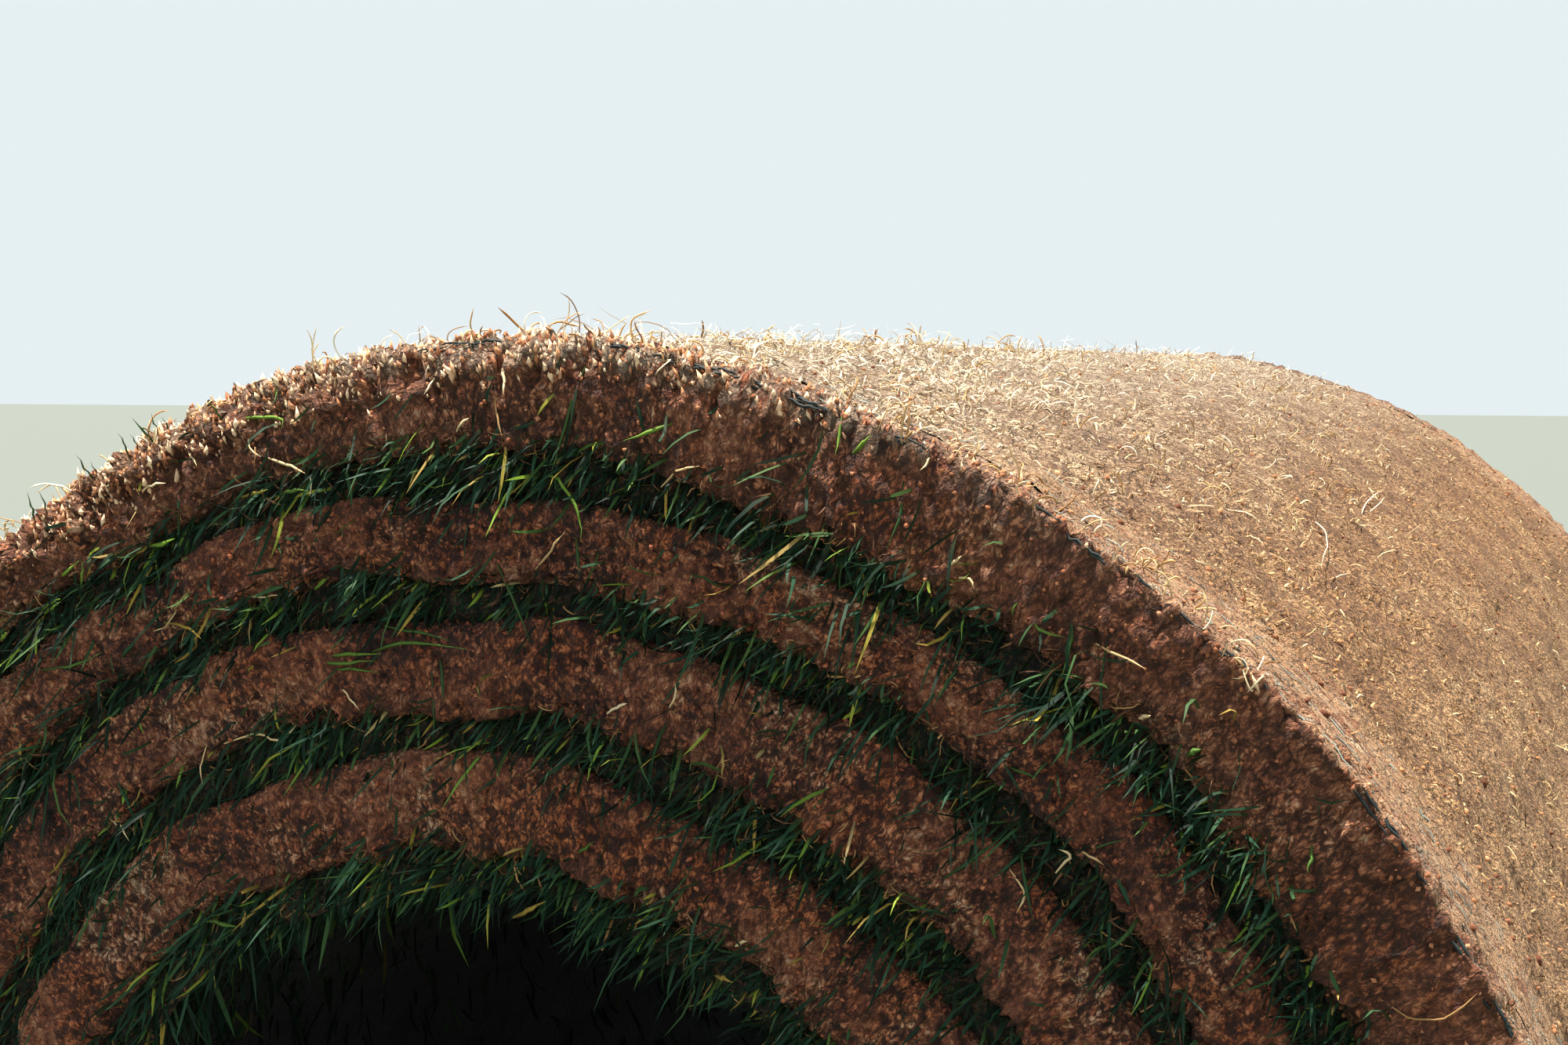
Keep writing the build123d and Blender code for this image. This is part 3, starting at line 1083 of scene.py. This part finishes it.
LONE_ROOTS = [
    (1.0, 0.75, 4, (312, 760), (335, 762), (358, 759)),
    (1.2, 0.8, 5, (429, 868), (445, 888), (459, 907)),
    (1.1, 0.7, 4, (264, 949), (256, 975), (257, 1000)),
    (1.3, 0.7, 5, (285, 949), (329, 933), (356, 949), (377, 926)),
    (1.2, 0.85, 4, (142, 1046), (154, 1053), (165, 1074)),
    (1.1, 0.8, 5, (315, 541), (317, 572), (333, 583)),
    (1.6, 0.75, 5, (339, 583), (370, 594), (388, 604)),
    (1.2, 0.8, 6, (237, 567), (243, 580), (252, 595)),
    (1.4, 0.85, 7, (176, 632), (190, 618), (212, 616)),
    (1.4, 0.95, 5, (556, 476), (550, 490), (542, 503)),
    (2.0, 0.85, 4, (640, 467), (643, 485), (642, 503)),
    (1.5, 0.8, 4, (582, 549), (588, 541), (597, 532)),
    (1.2, 0.4, 4, (631, 496), (634, 530), (638, 556)),
    (1.2, 0.6, 5, (843, 621), (863, 599), (892, 594)),
    (1.4, 0.5, 4, (683, 726), (700, 708), (721, 678)),
    (1.2, 0.8, 5, (1187, 574), (1183, 588), (1175, 600)),
    (1.6, 0.8, 4, (1203, 728), (1213, 720), (1226, 710)),
    (1.3, 0.75, 5, (1205, 741), (1238, 735), (1244, 752)),
    (1.3, 0.55, 5, (1398, 823), (1430, 838), (1463, 852)),
    (2.0, 0.8, 3, (1453, 917), (1460, 914), (1468, 913)),
    (1.3, 0.6, 5, (1375, 1085), (1392, 1092), (1408, 1104)),
    (1.5, 0.8, 6, (1345, 1113), (1370, 1090), (1352, 1082)),
    (0.9, 0.3, 6, (1760, 1275), (1800, 1302), (1850, 1300), (1885, 1268)),
    (1.1, 1.0, 4, (395, 608), (398, 618), (397, 632)),
    (1.8, 0.8, 3, (938, 1207), (946, 1202), (952, 1200)),
    (1.3, 0.8, 5, (853, 905), (862, 888), (860, 872)),
    (1.6, 0.9, 4, (775, 910), (788, 902), (800, 897)),
    (1.2, 0.7, 5, (1290, 1110), (1310, 1140), (1296, 1165)),
]
FACE_ROOTS = [
    (1.1, 0.9, 5, (1552, 652), (1576, 650), (1603, 661)),
    (1.0, 0.8, 6, (1578, 690), (1598, 681), (1613, 696)),
    (1.3, 1.0, 8, (1659, 668), (1680, 664), (1694, 684), (1690, 708), (1684, 722)),
    (1.0, 0.9, 5, (1677, 742), (1700, 736), (1723, 732)),
    (1.2, 1.0, 7, (1736, 661), (1742, 640), (1762, 626)),
    (1.1, 1.0, 7, (1742, 658), (1756, 646), (1766, 634)),
    (1.0, 0.6, 5, (1636, 745), (1640, 728), (1634, 712)),
]
# Stretches of dark backing along the near edge, with the shadow under its lip painted in as dark
# threads, between pixels of the photograph
BACKING_AND_SHADOW = [
    ((752, 442), (814, 458)), ((868, 456), (957, 487)), ((979, 492), (1051, 523)),
    ((1096, 532), (1154, 559)), ((1300, 640), (1510, 772)), ((1565, 818), (1585, 850)),
    ((1722, 1003), (1800, 1120)), ((1850, 1190), (1935, 1333)), ((520, 444), (600, 442)),
]

# Curly roots of the rim and the face behind it: tufts, places, insets, lengths, widths and seed,
# and how many straight steps each has
RIM_CURLS = (
    (90, (312, 402), (0.0, 0.03), (0.006, 0.02), (0.0005, 0.0010), 51),
    (290, (338, 395), (0.01, 1.0), (0.006, 0.018), (0.0005, 0.0009), 52),
    (24, (385, 425), (0.08, 0.6), (0.006, 0.016), (0.0005, 0.0009), 53),
    (84, (342, 368), (0.02, 0.6), (0.012, 0.026), (0.0006, 0.0012), 54),
)
CURL_STEPS = 5


def place_seen(x, y):
    """The place along the outer turn nearest to a pixel of the photograph."""
    point = seen_at(x, y)
    return 360 + np.degrees(np.arctan2(point[0], point[2] - AXIS_HEIGHT))


def foot_depth(x, y):
    """How far behind the near end's plane a stem has its foot, to stand in the worn shoulder."""
    point = seen_at(x, y)
    depth = TOP_RADIUS - np.hypot(point[0], point[2] - AXIS_HEIGHT)
    return 0.001 + float(shoulder(place_seen(x, y), depth))


def lone(stems, spot=seen_at, slim=1.0):
    """The paths of single stems: each leaves the soil at its foot and rises off it to its tip."""
    random = np.random.default_rng(61)
    for width, tone, rise, *pixels in stems:
        out = np.linspace(-foot_depth(*pixels[0]), rise / 1000, len(pixels))
        line = rounded([spot(*pixel, lift) for pixel, lift in zip(pixels, out)])
        line = line + random.normal(0, 0.00025, line.shape)
        yield line, (0, -1, 0), width * slim / 1000, 0.35, tone


def curls(tufts, places, insets, lengths, widths, seed):
    """Curly roots in small tufts that stand up from the outer face."""
    random = np.random.default_rng(seed)
    for _ in range(tufts):
        middle, inset = random.uniform(*places), random.uniform(*insets)
        for _ in range(random.integers(1, 6)):
            place = middle + random.normal(0, 0.5)
            line = [wound(place, 0.002, -HALF_WIDTH + max(inset + random.normal(0, 0.003), 0.001))]
            way = radial(np.array(place)) + random.normal(0, 0.5, 3)
            axis = random.normal(0, 1, 3)
            axis /= np.linalg.norm(axis)
            step, total = random.uniform(*lengths) / CURL_STEPS, random.uniform(1.5, 8.0)
            for _ in range(CURL_STEPS):
                way = way / np.linalg.norm(way)
                line.append(line[-1] + way * step)
                way = way + np.cross(axis, way) * total / CURL_STEPS + random.normal(0, 0.2, 3)
            facing = random.normal(0, 1, 3)
            yield rounded(line, 1), facing, random.uniform(*widths), 0.6, random.uniform(0.2, 1.1)


def backing_threads():
    """Faded threads of backing in the pressed band beside the near edge, lying along the strip."""
    random = np.random.default_rng(41)
    for _ in range(240):
        start, inset = random.uniform(374, 440), 0.006 + 0.07 * random.random() ** 1.3
        place = start + np.linspace(0, random.uniform(0.5, 2.6), 4)
        sway = np.linspace(0, random.uniform(-0.002, 0.003), 4)
        y = -HALF_WIDTH + inset + sway + random.normal(0, 0.0003, 4)
        line = wound(place, random.normal(0.0002, 0.0007, 4), y)
        width, tone = random.uniform(0.0004, 0.0011), random.uniform(0.4, 1.1)
        yield line, radial(np.array(start)), width, 0.25, tone


def edge_threads_and_shadow():
    """Dark threads along stretches of the near edge: partly the backing, partly painted shadow under
    the backing's lip.
    """
    random = np.random.default_rng(43)
    for start, end in BACKING_AND_SHADOW:
        first, last = place_seen(*start), place_seen(*end)
        for _ in range(10):
            place = random.uniform(first, last) + np.arange(0, random.uniform(0.7, 2.2), 0.3)
            down, back = random.uniform(-0.0005, 0.0022), random.uniform(-0.001, 0.001)
            sway = random.normal(0, 0.0003, (2, len(place)))
            y = -HALF_WIDTH + shoulder(place, down) + back + sway[0]
            line = wound(place, down + sway[1], y)
            # Tones near black: the backing, and the painted shadow under its lip
            yield line, (0, -1, 0.3), random.uniform(0.0005, 0.0014), 0.5, random.uniform(-0.1, 0.12)


# Studio


def studio():
    """A plain pale floor, a warm key light from behind on the left, soft cool light all round."""
    wide = 40.0
    corners = np.array([(-wide, -wide, 0), (wide, -wide, 0), (wide, wide, 0), (-wide, wide, 0)])
    floor = mesh_of("floor", corners, np.array([(0, 1, 2, 3)]))
    finish = Finish("floor")
    clouded = finish.blend(finish.noise(3, finish.place) * 0.3, paint("676d66"), paint("626861"))
    floor.materials.append(finish.end(clouded, rough=0.9))
    new_object("floor", floor)
    world = bpy.data.worlds.new("studio")
    world.use_nodes = True
    sky = world.node_tree.nodes["Background"].inputs
    sky["Color"].default_value = (0.88, 0.97, 1.0, 1)
    sky["Strength"].default_value = 0.9
    bpy.context.scene.world = world
    light = bpy.data.lights.new("key", "SUN")
    light.energy = 10.0
    light.angle = np.radians(1.5)
    light.color = (1.0, 0.945, 0.87)
    key = new_object("key", light)
    key.rotation_euler = Vector((-0.17, 0.04, 0.97)).to_track_quat("Z", "Y").to_euler()
    bpy.context.scene.view_settings.view_transform = "Standard"


def camera():
    """The camera of the photograph."""
    data = bpy.data.cameras.new("camera")
    data.sensor_width = SENSOR
    data.lens = LENS_PIXELS / PHOTO_WIDTH * SENSOR
    made = new_object("camera", data)
    made.location = EYE
    made.rotation_euler = EYE_TURN
    bpy.context.scene.camera = made


studio()
camera()
BLADES = blades("blade", (0.7, 0.0), (1.5, 0.0), (0.4, 0.9), sides=3, foot=0.8)
HAIRS = blades("hair", (2.8, 0.3), (0.8, 1.7), (4.2, 0.4), sides=4, foot=1)
CURLS = blades("curl", (4.6, 0.5), (1.4, 2.2), (6.4, 0.8), sides=7, foot=1)
CRUMBS = [crumb(f"crumb_{seed}", seed) for seed in (1, 2, 3)]
CRUMBLING = crumbling()
GRASS = sprouting("grass", BLADES)
ROOTS = sprouting("roots", HAIRS)
CURLY_ROOTS = sprouting("curly_roots", CURLS)
LITTER = littering("litter", CRUMBS)

CUT_SOIL = crumbly_soil("cut_soil", dry=0.85, dust=("5a2e1c", "ad7453", "e8c3a2"))
GRASS_FINISH, THATCH_AND_SHADE_FINISH = grass_blade(), thatch()
ROOT_FINISH, CRUMB_FINISH = root_fibre(), crumb_soil()
near_end = soil_end("soil_near_end", NEAR, CUT_SOIL, fine=0.0023, coarse=0.0038, face_step=0.0024,
                    wall_step=0.003)
soil_end("soil_far_end", FAR, CUT_SOIL, fine=0.007, coarse=0.009, face_step=0.005, wall_step=0.007)
face = outer_face(crumbly_soil("sunlit_soil", dry=1.0, dust=("7a4a24", "d29c60", "f4d6a8")))
strip_end("tail_end", CUT_SOIL, place=TAIL, last_depth=PITCH, side=1)
strip_end("inner_end", CUT_SOIL, place=INNER_END, last_depth=GRASS_FOOT, side=-1)
end_grass("near_grass", NEAR, GRASS_FINISH, THATCH_AND_SHADE_FINISH, step=0.005, density=168000.0, seed=5)
end_grass("far_grass", FAR, GRASS_FINISH, THATCH_AND_SHADE_FINISH, step=0.009, density=50000.0, seed=6)
bore_grass(GRASS_FINISH, THATCH_AND_SHADE_FINISH)

planted("near_crumbs", near_end, "litter", LITTER, CRUMB_FINISH, seed=21, Density=42000.0, Size=0.0009,
        Size_Spread=0.6, Stretch=1.3, Disorder=0.7, Patches=0.75, Tone_Low=0.0, Tone_High=0.6)
planted("rim_nubs", near_end, "nubs", LITTER, CRUMB_FINISH, seed=22, Density=115000.0, Size=0.00085,
        Size_Spread=0.6, Stretch=2.6, Disorder=0.8, Upright=1.8, Patches=0.7, Tone_Low=0.05,
        Tone_High=1.45)
planted("outer_crumbs", face, "litter", LITTER, CRUMB_FINISH, seed=23, Density=2100.0, Size=0.0013,
        Size_Spread=0.5, Stretch=1.1, Disorder=0.7, Tone_Low=-0.2, Tone_High=0.6)
planted("stray_blades", near_end, "stray", GRASS, GRASS_FINISH, seed=24, Density=9000.0, Length=0.018,
        Length_Spread=0.5, Width=0.0014, Least_Curl=-0.8, Disorder=0.7, Clumps=1.0, Patches=0.7,
        Tone_Low=0.3, Tone_High=1.0)
planted("fringe", near_end, "fringe", GRASS, GRASS_FINISH, seed=27, Density=64000.0, Length=0.015,
        Length_Spread=0.5, Width=0.0014, Least_Curl=0.2, Disorder=0.7, Clumps=1.3, Droop=1.6,
        Patches=0.9, Tone_Low=0.0, Tone_High=0.98)
planted("fringe_roots", near_end, "fringe", ROOTS, ROOT_FINISH, seed=28, Density=60000.0, Length=0.009,
        Length_Spread=0.6, Width=0.0006, Least_Curl=0.3, Disorder=1.2, Clumps=0.8, Patches=0.9,
        Tone_Low=-0.6, Tone_High=0.4)
planted("outer_roots", face, "roots", ROOTS, ROOT_FINISH, seed=25, Density=18200.0, Length=0.010,
        Length_Spread=0.5, Width=0.0008, Least_Curl=0.5, Disorder=0.75, Clumps=1.4, Patches=0.88,
        Tone_Low=-0.1, Tone_High=0.85)
planted("near_tufts", face, "tufts", CURLY_ROOTS, ROOT_FINISH, seed=26, Density=16400.0, Length=0.012,
        Length_Spread=0.5, Width=0.0007, Least_Curl=0.8, Disorder=0.6, Clumps=1.4, Patches=0.88,
        Tone_Low=-0.1, Tone_High=0.95)

# How abruptly roots and threads come to their tips
BLUNT = 8
strands("lone_blades", lone(LONE_BLADES, slim=0.8), GRASS_FINISH)
strands("lone_roots", [*lone(LONE_ROOTS, slim=0.75), *lone(FACE_ROOTS, face_at, slim=0.65)],
        ROOT_FINISH, BLUNT)
strands("rim_curls", [path for sort in RIM_CURLS for path in curls(*sort)], ROOT_FINISH, BLUNT)
strands("backing_threads", [*backing_threads(), *edge_threads_and_shadow()], backing_thread(), BLUNT)
for maker in BLADES + HAIRS + CURLS + CRUMBS:
    bpy.data.objects.remove(maker)
